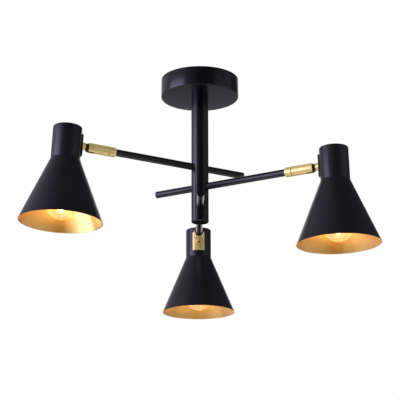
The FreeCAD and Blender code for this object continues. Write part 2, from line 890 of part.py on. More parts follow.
def build_fixed_pieces():
    opposite = make_canopy_screw()
    opposite.rotate(Vector(0, 0, 0), Vector(0, 0, 1), 180)
    save("mounting_bracket", turned_to_screws(make_mounting_bracket()))
    save("canopy_cup", turned_to_screws(make_canopy()))
    save_group("canopy_screws", [turned_to_screws(make_canopy_screw()), turned_to_screws(opposite)])
    save("terminal_block", turned_to_screws(make_terminal_block()))
    save("terminal_screw", turned_to_screws(make_terminal_screw()))
    save("earth_screw", turned_to_screws(make_earth_screw()))
    save("stem_tube", make_stem_tube())
    save("stem_nipple", make_stem_bush())
    save("stem_washer", make_stem_washer())
    save("stem_locknut", make_stem_locknut())
    save("stem_end_cap", make_stem_end_cap())
    for name in arm_drop:
        save("arm_tube_" + name, on_arm(name, make_arm_tube()))
        save("swivel_collar_" + name, on_arm(name, make_collar()))
    save_group("arm_plugs", [on_arm(name, make_arm_plug()) for name in arm_drop])
    save_group("collar_set_screws", [on_arm(name, make_collar_set_screw()) for name in arm_drop])


def build_barrel(name):
    save("swivel_barrel_" + name, on_arm(name, make_barrel()))
    save("swivel_stop_screw_" + name, on_arm(name, make_stop_screw()))
    save_group("pivot_screws_" + name, [on_arm(name, make_pivot_screw(side)) for side in (-1, 1)])


def build_head(name):
    screws = [on_head(name, make_plate_screw(height)) for height in plate_screw_heights()]
    save("swivel_tongue_" + name, on_head(name, make_tongue()))
    save("saddle_plate_" + name, on_head(name, make_plate()))
    save_group("saddle_screws_" + name, screws)
    save("shade_" + name, on_head(name, make_shade()))
    save("holder_bracket_" + name, on_head(name, make_holder_bracket()))
    save("holder_nipple_" + name, on_head(name, make_nipple()))
    save("lampholder_" + name, on_head(name, make_lampholder()))
    save("bulb_cap_" + name, on_head(name, make_bulb_cap()))
    save("bulb_glass_" + name, on_head(name, make_bulb_glass()))
    save("bulb_filament_" + name, on_head(name, make_filament()))


os.makedirs("parts", exist_ok=True)
build_fixed_pieces()
for head in arm_drop:
    build_barrel(head)
    build_head(head)
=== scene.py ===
# %% [markdown]
# # A black ceiling light with three adjustable cone shades
#
# The light hangs from a shallow round canopy. Three thin arms run straight through one stem, and each
# carries a spun shade on a small brass swivel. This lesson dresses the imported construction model: it
# gives every surface its finish and makes again the few pieces whose gloss or small detail needs it.
#
# The construction model is loaded first, so that everything after it goes where the model says.

import json
import math

import bmesh
import bpy
from mathutils import Matrix, Vector


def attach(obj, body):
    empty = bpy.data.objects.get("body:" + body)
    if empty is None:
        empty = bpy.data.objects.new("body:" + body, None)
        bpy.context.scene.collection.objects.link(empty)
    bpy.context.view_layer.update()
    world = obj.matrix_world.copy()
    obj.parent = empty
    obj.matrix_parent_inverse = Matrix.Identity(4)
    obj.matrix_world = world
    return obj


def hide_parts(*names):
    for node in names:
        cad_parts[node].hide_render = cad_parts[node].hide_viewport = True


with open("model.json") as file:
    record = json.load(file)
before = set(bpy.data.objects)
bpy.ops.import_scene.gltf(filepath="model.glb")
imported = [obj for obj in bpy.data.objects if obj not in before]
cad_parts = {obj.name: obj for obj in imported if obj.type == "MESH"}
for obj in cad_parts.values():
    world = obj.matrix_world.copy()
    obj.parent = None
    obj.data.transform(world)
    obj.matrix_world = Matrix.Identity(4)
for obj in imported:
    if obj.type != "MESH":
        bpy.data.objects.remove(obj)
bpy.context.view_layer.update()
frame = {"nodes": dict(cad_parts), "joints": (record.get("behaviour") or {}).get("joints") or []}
joints = {joint["name"]: joint for joint in frame["joints"]}

# %% [markdown]
# ## Where each head sits
#
# A head is the swivel and the shade at the end of one arm. Its turn joint gives the swivel's pivot and
# the arm's direction, so no place has to be typed in twice. Only the shades' slight tilts in the
# photograph are values of their own, because a joint counts from rest.

# %% The frame of each arm and of each head
HEADS = ("left", "right", "rear")
HEAD_TILT = {"left": 2.9, "right": 1.4, "rear": -1.1}
UP = Vector((0, 0, 1))


def arm_matrix(name):
    """Frame on a swivel's pivot: X runs out along the arm, Z is up."""
    joint = joints["turn_" + name]
    along = Vector(joint["axis"])
    axes = Matrix((along, UP.cross(along), UP)).transposed().to_4x4()
    return Matrix.Translation(joint["pos_m"]) @ axes


def head_matrix(name):
    """The same frame with the shade's tilt at rest."""
    return arm_matrix(name) @ Matrix.Rotation(math.radians(-HEAD_TILT[name]), 4, "Y")


for head in HEADS:
    place = arm_matrix(head).translation
    print(head, "pivot at", [round(value, 4) for value in place], "m")

# %% [markdown]
# ## Writing shader maths as plain expressions
#
# A finish is a small network of nodes. Wired by hand, even "one minus a mask" takes several lines. A
# class that wraps a socket lets Python's own operators add the Math nodes instead. Each operator also
# has its reflected form, for a plain number in front. The same operators on a vector add Vector Math
# nodes, because a Math node would turn the vector into one number.

# %% A wrapped socket
class Signal:
    """One output socket of a finish. Operators on it add the node that works them out."""

    def __init__(self, finish, socket):
        self.finish = finish
        self.socket = socket

    def combine(self, operation, first, second):
        vector = self.socket.type == "VECTOR"
        kind = "ShaderNodeVectorMath" if vector else "ShaderNodeMath"
        return self.finish.add(kind, {"operation": operation}, {0: first, 1: second})

    def __add__(self, other):
        return self.combine("ADD", self, other)

    def __radd__(self, other):
        return self.combine("ADD", other, self)

    def __sub__(self, other):
        return self.combine("SUBTRACT", self, other)

    def __rsub__(self, other):
        return self.combine("SUBTRACT", other, self)

    def __mul__(self, other):
        return self.combine("MULTIPLY", self, other)

    def __rmul__(self, other):
        return self.combine("MULTIPLY", other, self)

    def absolute(self):
        return self.combine("ABSOLUTE", self, 0.0)

    def maximum(self, other):
        """The higher of two numbers."""
        return self.combine("MAXIMUM", self, other)


print("made the socket wrapper:", Signal.__name__)

# %% [markdown]
# ## One method for every other node
#
# All other nodes come from one method, add: a node's settings first, then what goes into its sockets.
# What comes back often, such as a dot product or a smooth ramp between two numbers, gets a short name
# of its own. A place is taken in the piece's own space, so that a finish rides with its piece.
#
# A Mix node lists the sockets of all its kinds of value one after another, under the same names. The
# ones for colours are picked by their numbers.

# %% A finish and its nodes
MIX_FACTOR = 0
MIX_FIRST = 6
MIX_SECOND = 7
MIX_RESULT = 2


class Finish:
    """The network of a material or a world, whose nodes are added one by one."""

    def __init__(self, owner):
        owner.use_nodes = True
        self.owner = owner
        self.tree = owner.node_tree
        self.tree.nodes.clear()

    def add(self, kind, settings=None, sockets=None, output=0):
        """Add a node, set it up, fill its sockets and return one of its outputs."""
        node = self.tree.nodes.new(kind)
        for key, value in (settings or {}).items():
            setattr(node, key, value)
        for key, value in (sockets or {}).items():
            if isinstance(value, Signal):
                self.tree.links.new(value.socket, node.inputs[key])
            else:
                node.inputs[key].default_value = value
        return Signal(self, node.outputs[output]) if node.outputs else None

    def place(self):
        """Coordinates that ride with the piece, in metres."""
        return self.add("ShaderNodeTexCoord", output="Object")

    def part(self, vector, axis):
        """One of a vector's three numbers."""
        return self.add("ShaderNodeSeparateXYZ", None, {"Vector": vector}, output=axis)

    def dot(self, vector, direction):
        """How far a vector goes along a direction."""
        sockets = {0: vector, 1: direction}
        return self.add("ShaderNodeVectorMath", {"operation": "DOT_PRODUCT"}, sockets, output="Value")

    def graded(self, value, start, end, low, high):
        """Number that runs smoothly from low to high while a value runs from start to end."""
        sockets = {"Value": value, "From Min": start, "From Max": end, "To Min": low, "To Max": high}
        return self.add("ShaderNodeMapRange", {"interpolation_type": "SMOOTHSTEP"}, sockets)

    def noise(self, place, size, detail=2.0, roughness=0.5):
        """Soft noise from 0 to 1 whose blobs are about size metres across."""
        sockets = {"Vector": place, "Scale": 1.0 / size, "Detail": detail, "Roughness": roughness}
        return self.add("ShaderNodeTexNoise", None, sockets)

    def mix(self, factor, first, second):
        """Colour between two colours."""
        sockets = {MIX_FACTOR: factor, MIX_FIRST: first, MIX_SECOND: second}
        return self.add("ShaderNodeMix", {"data_type": "RGBA"}, sockets, output=MIX_RESULT)

    def bump(self, height, depth):
        """Normal of a surface that rises by depth metres where height is 1."""
        return self.add("ShaderNodeBump", None, {"Height": height, "Distance": depth, "Strength": 1.0})

    def surface(self, sockets):
        """Principled surface from a dict of sockets, wired to the output."""
        shader = self.add("ShaderNodeBsdfPrincipled", None, sockets)
        self.add("ShaderNodeOutputMaterial", None, {"Surface": shader})
        return self.owner


def new_finish(name):
    return Finish(bpy.data.materials.new(name))


def colour(red, green, blue):
    return (red, green, blue, 1.0)


print("made the finish helper:", Finish.__name__)

# %% [markdown]
# ## Black lacquer
#
# Canopy, stem and arms are steel with a black satin lacquer that leans slightly to blue, and the
# shades have a duller one. One flat dark colour would pass for plastic. Sprayed lacquer dries with a
# fine ripple, and handling makes it a little duller in places. The ripple goes into the bump and the
# handling into the roughness, both from noise, because neither has a pattern.

# %% Black lacquer
MM = 0.001
HANDLED_PATCH = 35 * MM
HANDLED_DULLING = 0.08


def make_lacquer(name, dark, light, roughness, ripple_size, ripple_depth):
    finish = new_finish(name)
    place = finish.place()
    ripple = finish.noise(place, ripple_size, detail=3.0)
    handled = finish.noise(place, HANDLED_PATCH, detail=4.0, roughness=0.6)
    return finish.surface({
        "Base Color": finish.mix(handled, dark, light),
        "Roughness": handled * HANDLED_DULLING + (roughness - HANDLED_DULLING / 2),
        "Normal": finish.bump(ripple, ripple_depth),
    })


STEM_BLACK = make_lacquer(
    "black_lacquer",
    dark=colour(0.0022, 0.0020, 0.0034),
    light=colour(0.0036, 0.0033, 0.0052),
    roughness=0.21,
    ripple_size=1.6 * MM,
    ripple_depth=0.004 * MM,
)
SHADE_BLACK = make_lacquer(
    "black_shade_lacquer",
    dark=colour(0.0034, 0.0032, 0.0058),
    light=colour(0.0048, 0.0044, 0.0078),
    roughness=0.31,
    ripple_size=1.1 * MM,
    ripple_depth=0.006 * MM,
)
print("lacquers:", STEM_BLACK.name, SHADE_BLACK.name)

# %% [markdown]
# ## Gold inside the shades
#
# A spun shade keeps fine rings from the spinning tool, and the gold paint inside lets them show. The
# shades are made below about their own Z axis, so a ring is simply a level height: noise that is
# stretched flat round the axis gives rings of uneven strength, as a tool leaves them. Regular waves
# would look like a thread. A clear coat lays a paler and sharper gloss over the broad golden one.

# %% Gold paint over spinning rings
RING_SQUEEZE = (4.0, 4.0, 900.0)
RING_DEPTH = 0.012 * MM
RING_DULLING = 0.04
GOLD_CLOUD = 20 * MM
GOLD_CLOUD_DULLING = 0.05
GOLD_ROUGHNESS = 0.27
GOLD_DEEP = colour(0.91, 0.60, 0.16)
GOLD_PALE = colour(0.95, 0.66, 0.22)


def make_gold_inside():
    finish = new_finish("gold_inside")
    place = finish.place()
    rings = finish.noise(place * RING_SQUEEZE, 1.0)
    cloud = finish.noise(place, GOLD_CLOUD, detail=4.0)
    return finish.surface({
        "Base Color": finish.mix(cloud, GOLD_DEEP, GOLD_PALE),
        "Metallic": 1.0,
        "Roughness": cloud * GOLD_CLOUD_DULLING + rings * RING_DULLING + GOLD_ROUGHNESS,
        "Coat Weight": 0.5,
        "Coat Roughness": 0.15,
        "Normal": finish.bump(rings, RING_DEPTH),
    })


GOLD_INSIDE = make_gold_inside()
print("finish:", GOLD_INSIDE.name)

# %% [markdown]
# ## Painted shade on the brass
#
# The swivels are turned from brass bar and polished to a satin gloss. End faces, the slot of the fork,
# the tongue's blade in it and the edges of the plates get a painted shade, a dark colour that stands for
# the shade there, and on the blade for grease as well. That contrast makes the bright faces read as
# metal. A painted map could say where, but it would be one more file for each piece. A mask finds each
# of these by its place or by where it faces instead, both in the piece's own space, so that nothing
# slides when a joint moves. Stations are counted along an arm from the stem's axis.

# %% Masks for the painted shade
PIVOT_STATION = 180.8 * MM
SLOT_END = PIVOT_STATION - 5.9 * MM
SLOT_END_BLUR = 0.5 * MM
BLADE_END = PIVOT_STATION + 8.6 * MM
BLADE_END_BLUR = 0.3 * MM
HALF_SLOT = 2.65 * MM
HALF_SLOT_BLUR = 0.1 * MM


def facing_along(finish, along):
    """1 on a face that looks along a direction, either way, and 0 on one that looks across it."""
    normal = finish.add("ShaderNodeTexCoord", output="Normal")
    return finish.dot(normal, along).absolute()


# Every mask takes the same three values, so that one function can call any of them.
# Painted shade on the faces that look along the arm, which are the ends of a collar or barrel.
def end_faces(finish, place, along):
    return finish.graded(facing_along(finish, along), start=0.75, end=0.95, low=0.0, high=1.0)


def ends_and_slot(finish, place, along):
    """Painted shade on end faces and between the cheeks of the fork."""
    beside = finish.dot(place, UP.cross(along)).absolute()
    slot = finish.graded(beside, HALF_SLOT, HALF_SLOT + HALF_SLOT_BLUR, 1.0, 0.0)
    slot = slot * finish.graded(finish.dot(place, along), SLOT_END - SLOT_END_BLUR, SLOT_END, 0.0, 1.0)
    return end_faces(finish, place, along).maximum(slot)


# Painted shade, mixed with grease, on the tongue's blade up to 8.6 mm beyond the pivot.
def blade(finish, place, along):
    return finish.graded(finish.dot(place, along), BLADE_END, BLADE_END + BLADE_END_BLUR, 1.0, 0.0)


# Painted shade on the plates' edges, which are the faces that look across the arm.
def painted_shade_on_plate_edges(finish, place, along):
    return finish.graded(facing_along(finish, along), start=0.45, end=0.7, low=1.0, high=0.0)


print("masks for brass:", [mask.__name__ for mask in (end_faces, ends_and_slot, blade, painted_shade_on_plate_edges)])

# %% [markdown]
# ## Satin brass
#
# A lathe leaves rings across the bar, so the rings on a collar or barrel follow its arm: noise is read
# along one line only, by the station, which is the dot product of the place with the arm's direction.
# Tongues, plates and small screws get an even grain instead. Under both lies the cloudy tarnish that
# brass soon gets, as a change of colour and of gloss.

# %% Brass finishes
BRASS_DEEP = colour(0.93, 0.69, 0.25)
BRASS_PALE = colour(0.97, 0.75, 0.31)
# Painted shade: dark brown on the barrel's ends and slot and, mixed with grease, on the tongue's blade;
# near black on the collar's ends and the plates' edges.
PAINTED_SHADE_AND_GREASE = colour(0.10, 0.062, 0.022)
PAINTED_SHADE_NEAR_BLACK = colour(0.030, 0.026, 0.015)
TARNISH_CLOUD = 6 * MM
TARNISH_DULLING = 0.08
BRASS_GRAIN = 0.7 * MM
BRASS_GRAIN_DEPTH = 0.008 * MM
BRASS_GRAIN_DULLING = 0.10
RINGS_PER_METRE = 2600.0
BRASS_ROUGHNESS = 0.22
# Roughness added where the painted shade lies.
PAINTED_SHADE_DULLING = 0.15


def make_brass(name, along=None, turned=False, painted_shade_mask=None, painted_shade_colour=PAINTED_SHADE_AND_GREASE):
    """Brass with rings along an arm where it is turned, and with painted shade where a mask puts it."""
    finish = new_finish(name)
    place = finish.place()
    cloud = finish.noise(place, TARNISH_CLOUD, detail=5.0, roughness=0.65)
    if turned:
        station = finish.dot(place, along) * RINGS_PER_METRE
        line = finish.add("ShaderNodeCombineXYZ", None, {"X": station})
        grain = finish.noise(line, 1.0, detail=3.0)
    else:
        grain = finish.noise(place, BRASS_GRAIN)
    base = finish.mix(cloud, BRASS_DEEP, BRASS_PALE)
    roughness = cloud * TARNISH_DULLING + grain * BRASS_GRAIN_DULLING + BRASS_ROUGHNESS
    # Painted shade: where the mask is 1 the colour turns dark and the gloss duller.
    if painted_shade_mask is not None:
        mask = painted_shade_mask(finish, place, along)
        base = finish.mix(mask, base, painted_shade_colour)
        roughness = roughness + mask * PAINTED_SHADE_DULLING
    return finish.surface({
        "Base Color": base,
        "Metallic": 0.65,
        "Roughness": roughness,
        "Normal": finish.bump(grain, BRASS_GRAIN_DEPTH),
    })


PLAIN_BRASS = make_brass("satin_brass")
COLLAR_BRASS, BARREL_BRASS, TONGUE_BRASS, PLATE_BRASS = {}, {}, {}, {}
for head in HEADS:
    direction = Vector(joints["turn_" + head]["axis"])
    COLLAR_BRASS[head] = make_brass("collar_brass_" + head, direction, True, end_faces, PAINTED_SHADE_NEAR_BLACK)
    BARREL_BRASS[head] = make_brass("barrel_brass_" + head, direction, True, ends_and_slot)
    TONGUE_BRASS[head] = make_brass("tongue_brass_" + head, direction, False, blade)
    PLATE_BRASS[head] = make_brass("plate_brass_" + head, direction, False, painted_shade_on_plate_edges, PAINTED_SHADE_NEAR_BLACK)
print("brass finishes:", [material.name for material in bpy.data.materials if "brass" in material.name])

# %% [markdown]
# ## The plain metals and plastics
#
# What is inside the canopy and the cups is only seen from close by: zinc-plated steel with its cloudy
# plating, blackened screws, the moulded holder with a fine grain, the bulb's cap and the pale terminal
# block. One function makes them all, because they differ in colour, gloss and grain but not in kind.

# %% Plain metals and plastics
CLOUD_TO_GRAIN = 6
CLOUD_DULLING = 0.14


def make_plain(name, dark, light, metallic, roughness, grain_size, grain_depth):
    finish = new_finish(name)
    place = finish.place()
    cloud = finish.noise(place, grain_size * CLOUD_TO_GRAIN, detail=5.0, roughness=0.6)
    grain = finish.noise(place, grain_size)
    return finish.surface({
        "Base Color": finish.mix(cloud, dark, light),
        "Metallic": metallic,
        "Roughness": cloud * CLOUD_DULLING + (roughness - CLOUD_DULLING / 2),
        "Normal": finish.bump(grain, grain_depth),
    })


ZINC = make_plain(
    "zinc_plated_steel", colour(0.48, 0.49, 0.50), colour(0.62, 0.62, 0.60),
    metallic=1.0, roughness=0.34, grain_size=1.2 * MM, grain_depth=0.01 * MM,
)
DARK_STEEL = make_plain(
    "blackened_steel", colour(0.020, 0.019, 0.022), colour(0.045, 0.042, 0.044),
    metallic=0.8, roughness=0.38, grain_size=0.8 * MM, grain_depth=0.01 * MM,
)
HOLDER = make_plain(
    "moulded_holder", colour(0.018, 0.018, 0.018), colour(0.028, 0.027, 0.026),
    metallic=0.0, roughness=0.52, grain_size=0.6 * MM, grain_depth=0.02 * MM,
)
CAP_METAL = make_plain(
    "cap_metal", colour(0.66, 0.63, 0.56), colour(0.78, 0.75, 0.69),
    metallic=1.0, roughness=0.30, grain_size=0.8 * MM, grain_depth=0.01 * MM,
)
TERMINAL = make_plain(
    "terminal_plastic", colour(0.72, 0.71, 0.66), colour(0.78, 0.77, 0.72),
    metallic=0.0, roughness=0.42, grain_size=0.8 * MM, grain_depth=0.01 * MM,
)
print("plain finishes:", [material.name for material in (ZINC, DARK_STEEL, HOLDER, CAP_METAL, TERMINAL)])

# %% [markdown]
# ## Glass and the lit filament
#
# A clear bulb is a very thin shell. Rays through a real glass shell bend almost not at all, so it is
# made as a mirror that is nearly transparent face on and shines towards its edge. That keeps the
# light of the lamps inside free of noise, because a see-through shell lets their rays straight on. The
# glass also has a faint warm painted glow of its own, which stands in for the filament's light
# scattered in it, and fades in as a haze above the globe's bottom. The filament glows by itself,
# unevenly, as a hot wire does.

# %% Clear glass and filament
GLOW_BOTTOM = -109.0 * MM
GLOW_TOP = -99.0 * MM
GLOW_HAZE = 0.05
GLASS_FACE_ON = 0.03
GLASS_EDGE_ON = 0.42
GLASS_ROUGHNESS = 0.01
SMEAR = 12 * MM
SMEAR_DULLING = 0.03
SMEARED_HAZE = 0.6
FILAMENT_UNEVENNESS = 4 * MM
FILAMENT_STRENGTH = 4.0


def make_clear_glass():
    finish = new_finish("clear_glass")
    edge = finish.add("ShaderNodeLayerWeight", None, {"Blend": 0.25}, output="Facing")
    place = finish.place()
    smear = finish.noise(place, SMEAR, detail=3.0)
    haze = finish.graded(finish.part(place, "Z"), GLOW_BOTTOM, GLOW_TOP, 0.0, GLOW_HAZE)
    uneven = smear * SMEARED_HAZE + (1 - SMEARED_HAZE / 2)
    return finish.surface({
        "Base Color": colour(1.0, 0.97, 0.92),
        "Metallic": 1.0,
        "Roughness": smear * SMEAR_DULLING + GLASS_ROUGHNESS,
        "Alpha": edge * GLASS_EDGE_ON + haze * uneven + GLASS_FACE_ON,
        # Painted glow: the glass gives off a little warm light of its own, which shows most where the
        # glass is least clear.
        "Emission Color": colour(1.0, 0.78, 0.40),
        "Emission Strength": 0.22,
    })


def make_filament():
    finish = new_finish("lit_filament")
    flicker = finish.noise(finish.place(), FILAMENT_UNEVENNESS)
    return finish.surface({
        "Base Color": colour(0.9, 0.8, 0.6),
        "Roughness": 0.4,
        "Emission Color": finish.mix(flicker, colour(1.0, 0.70, 0.34), colour(1.0, 0.86, 0.58)),
        "Emission Strength": FILAMENT_STRENGTH,
    })


CLEAR_GLASS = make_clear_glass()
LIT_FILAMENT = make_filament()
print("bulb finishes:", CLEAR_GLASS.name, LIT_FILAMENT.name)

# %% [markdown]
# ## Outlines with rounded corners
#
# Shade, canopy and bulb are round about one axis, so each is drawn as half of its section. An outline
# is a few corners, each with its own rounding. Writing the corners and letting a function round them
# keeps the real sizes in view, and every round edge catches light as a real one does. Where a piece
# has two finishes, a corner also has a paint: the number of the finish from there on.

# %% Outline helper
FIRST_PAINT = 0


def rounded(corners, steps=6):
    """Points (radius, height, paint) along corners (radius, height, rounding) or with a paint."""
    points = []
    for index, (radius, height, rounding, *paints) in enumerate(corners):
        paint = paints[0] if paints else FIRST_PAINT
        if rounding <= 0:
            points.append((radius, height, paint))
            continue
        here = Vector((radius, height))
        before = Vector(corners[index - 1][:2]) - here
        after = Vector(corners[(index + 1) % len(corners)][:2]) - here
        half = before.angle(after) / 2
        run = rounding / math.tan(half)
        inward = (before.normalized() + after.normalized()).normalized()
        centre = here + inward * (rounding / math.sin(half))
        first = here + before.normalized() * run - centre
        last = here + after.normalized() * run - centre
        sweep = first.angle_signed(last)
        for step in range(steps + 1):
            spoke = first.copy()
            spoke.rotate(Matrix.Rotation(-sweep * step / steps, 2))
            points.append((centre.x + spoke.x, centre.y + spoke.y, paint))
    return points


sample = rounded([(0, 0, 0), (1, 0, 0.2), (1, 1, 0)])
print("a triangle with one rounded corner has", len(sample), "points")

# %% [markdown]
# ## Turning outlines into pieces
#
# A lathe sweeps an outline round the Z axis. A Screw modifier could do the same, but it gives the
# whole piece one finish. Written out, each stretch takes its own paint, and a point on the axis
# becomes one vertex instead of a ring of them.

# %% Lathe
SHARP_ANGLE = 32.0
ON_AXIS = 0.0001 * MM


def piece(name, shape, finishes, sharp_angle=SHARP_ANGLE):
    """Object from a bmesh, smooth except at corners sharper than the angle."""
    mesh = bpy.data.meshes.new(name)
    shape.to_mesh(mesh)
    shape.free()
    for finish in finishes:
        mesh.materials.append(finish)
    mesh.polygons.foreach_set("use_smooth", [True] * len(mesh.polygons))
    mesh.set_sharp_from_angle(angle=math.radians(sharp_angle))
    made = bpy.data.objects.new(name, mesh)
    bpy.context.scene.collection.objects.link(made)
    return made


def lathe(name, points, finishes, segments):
    """Closed outline of (radius, height, paint) points, swept about the Z axis."""
    shape = bmesh.new()
    rings = []
    for radius, height, _ in points:
        if radius < ON_AXIS:
            rings.append([shape.verts.new((0, 0, height))] * segments)
            continue
        ring = []
        for step in range(segments):
            angle = 2 * math.pi * step / segments
            ring.append(shape.verts.new((radius * math.cos(angle), radius * math.sin(angle), height)))
        rings.append(ring)
    for index, ring in enumerate(rings):
        following = rings[(index + 1) % len(rings)]
        for step in range(segments):
            beside = (step + 1) % segments
            corners = []
            for vertex in (ring[step], ring[beside], following[beside], following[step]):
                if vertex not in corners:
                    corners.append(vertex)
            if len(corners) > 2:
                shape.faces.new(corners).material_index = points[index][2]
    bmesh.ops.recalc_face_normals(shape, faces=shape.faces)
    return piece(name, shape, finishes)


print("lathe ready, with edges sharp from", SHARP_ANGLE, "degrees")

# %% [markdown]
# ## Putting a piece in its place
#
# A new piece could be moved and forgotten, but a joint would leave it behind. So it rides with a body
# and stands for the nodes that it replaces, which are hidden.

# %% Fit
def fit(made, matrix, body, nodes):
    """Put a piece in place, on its body, instead of the nodes it stands for."""
    made.matrix_world = matrix
    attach(made, body)
    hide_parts(*nodes)
    return made


# %% [markdown]
# ## The shades
#
# Cup and cone are one spun sheet, black outside and gold inside. The sheet's rim is trimmed and eased,
# and the black wraps over it, so the gold starts at the rim's inner corner. Two shells, one in the
# other, would show a gap or flicker there. One closed outline carries both paints instead: each
# stretch of it says which finish it has.

# %% Shades
CUP_RADIUS = 20.3 * MM
CUP_TOP = 22.5 * MM
CUP_EDGE = 1.8 * MM
CONE_START = -24.6 * MM
RIM_HEIGHT = -113.9 * MM
RIM_RADIUS = 57.5 * MM
SHEET = 0.8 * MM
TRIMMED_EDGE = 0.2 * MM
OUTER_BEND = 2.0 * MM
INNER_BEND = 1.5 * MM
PLATE_THICKNESS = 2.2 * MM
PLATE_OUTER = CUP_RADIUS + 0.1 * MM + PLATE_THICKNESS
CUP_DISTANCE = 13.0 * MM + PLATE_OUTER
BLACK_SIDE, GOLD_SIDE = FIRST_PAINT, FIRST_PAINT + 1


def cup_matrix(name):
    """Frame on the cup's own axis, at the height of the swivel."""
    return head_matrix(name) @ Matrix.Translation((CUP_DISTANCE, 0, 0))


def make_shade(name):
    flare = math.atan2(RIM_RADIUS - CUP_RADIUS, CONE_START - RIM_HEIGHT)
    inner_rim = RIM_RADIUS - SHEET / math.cos(flare)
    inner_cup = CUP_RADIUS - SHEET
    inner_start = RIM_HEIGHT + (inner_rim - inner_cup) / math.tan(flare)
    outline = rounded([
        (0, CUP_TOP, 0, BLACK_SIDE),
        (CUP_RADIUS, CUP_TOP, CUP_EDGE, BLACK_SIDE),
        (CUP_RADIUS, CONE_START, OUTER_BEND, BLACK_SIDE),
        (RIM_RADIUS, RIM_HEIGHT, TRIMMED_EDGE, BLACK_SIDE),
        (inner_rim, RIM_HEIGHT, TRIMMED_EDGE, GOLD_SIDE),
        (inner_cup, inner_start, INNER_BEND, GOLD_SIDE),
        (inner_cup, CUP_TOP - SHEET, CUP_EDGE - SHEET, GOLD_SIDE),
        (0, CUP_TOP - SHEET, 0, GOLD_SIDE),
    ])
    shade = lathe("shade_" + name + "_spun", outline, [SHADE_BLACK, GOLD_INSIDE], segments=160)
    return fit(shade, cup_matrix(name), "head_" + name, ["shade_" + name])


for head in HEADS:
    print(make_shade(head).name, "rim radius", RIM_RADIUS, "m")

# %% [markdown]
# ## The canopy
#
# The canopy is a pressed cup. Its lower edge is bent over a small radius, and that thin line of light
# between side and underside is what makes it read as sheet metal, so it is made again with the
# rounding. It is open at the top, where it meets the ceiling.

# %% Canopy
CANOPY_RADIUS = 57.6 * MM
CANOPY_HEIGHT = 28.1 * MM
CANOPY_SHEET = 1.2 * MM
CANOPY_EDGE = 1.6 * MM
CANOPY_HOLE = 5.2 * MM


def make_canopy():
    inside = CANOPY_RADIUS - CANOPY_SHEET
    floor = -CANOPY_HEIGHT + CANOPY_SHEET
    outline = rounded([
        (CANOPY_HOLE, -CANOPY_HEIGHT, 0),
        (CANOPY_RADIUS, -CANOPY_HEIGHT, CANOPY_EDGE),
        (CANOPY_RADIUS, 0, TRIMMED_EDGE),
        (inside, 0, TRIMMED_EDGE),
        (inside, floor, CANOPY_EDGE - CANOPY_SHEET),
        (CANOPY_HOLE, floor, 0),
    ])
    canopy = lathe("canopy_pressed", outline, [STEM_BLACK], segments=192)
    return fit(canopy, Matrix.Identity(4), "ceiling_body", ["canopy_cup"])


print(make_canopy().name, "radius", CANOPY_RADIUS, "m")

# %% [markdown]
# ## The bulbs
#
# A round bulb is a globe that runs into a narrow neck. A ball pushed into a tube would leave a crease
# where they meet. Here a slant from the end of the neck meets the globe at a tangent, so the outline
# is one straight, one slant and one arc. The shell has two walls, as thin glass has, and both reflect.

# %% Bulbs
BULB_SEAT = -55.8 * MM
BULB_TIP = -32.2 * MM
BULB_LENGTH = 78.0 * MM
GLOBE_RADIUS = 22.5 * MM
NECK_RADIUS = 6.7 * MM
NECK_TOP = -55.0 * MM
NECK_END = -60.4 * MM
GLASS = 0.8 * MM
GLOBE_CENTRE = BULB_TIP - BULB_LENGTH + GLOBE_RADIUS


def bulb_side(radius, neck, steps=40):
    """Points down one wall of the bulb, from the neck to the middle of its bottom."""
    reach = math.hypot(neck, NECK_END - GLOBE_CENTRE)
    lean = math.atan2(neck, NECK_END - GLOBE_CENTRE)
    touch = lean + math.acos(radius / reach)
    points = [(neck, NECK_TOP, FIRST_PAINT), (neck, NECK_END, FIRST_PAINT)]
    for step in range(steps + 1):
        angle = touch + (math.pi - touch) * step / steps
        height = GLOBE_CENTRE + radius * math.cos(angle)
        points.append((max(radius * math.sin(angle), 0.0), height, FIRST_PAINT))
    return points


def make_bulb(name):
    outside = bulb_side(GLOBE_RADIUS, NECK_RADIUS)
    inside = bulb_side(GLOBE_RADIUS - GLASS, NECK_RADIUS - GLASS)
    bulb = lathe("bulb_glass_" + name + "_blown", outside + inside[::-1], [CLEAR_GLASS], segments=96)
    return fit(bulb, cup_matrix(name), "head_" + name, ["bulb_glass_" + name])


for head in HEADS:
    print(make_bulb(head).name, "globe radius", GLOBE_RADIUS, "m")

# %% [markdown]
# ## Wires
#
# A wire is round and bends freely, which a curve with a round bevel does without any further work. It
# is kept as a mesh, so its bends stay evenly thick and its ends closed.

# %% Wire helper
WIRE_SHARP_ANGLE = 60


def wire(name, points, radius, finish):
    """Round wire along points, bevelled by a curve and kept as a mesh."""
    data = bpy.data.curves.new(name, "CURVE")
    data.dimensions = "3D"
    data.bevel_depth = radius
    data.bevel_resolution = 2
    data.use_fill_caps = True
    spline = data.splines.new("POLY")
    spline.points.add(len(points) - 1)
    for point, place in zip(spline.points, points):
        point.co = (*place, 1)
    curve = bpy.data.objects.new(name, data)
    bpy.context.scene.collection.objects.link(curve)
    bpy.context.view_layer.update()
    shape = bmesh.new()
    mesh = bpy.data.meshes.new_from_object(curve.evaluated_get(bpy.context.evaluated_depsgraph_get()))
    shape.from_mesh(mesh)
    bpy.data.meshes.remove(mesh)
    bpy.data.objects.remove(curve)
    return piece(name, shape, [finish], WIRE_SHARP_ANGLE)


print("wire helper ready")

# %% [markdown]
# ## The filament
#
# Inside the globe a glass mount carries two lead wires, and a coiled filament hangs between their ends.
# In the photograph only a short bright core shows under a shade's edge, so the coil is kept as narrow
# as that core. A plain glowing rod would do from afar, but a shade that is turned up shows it whole.

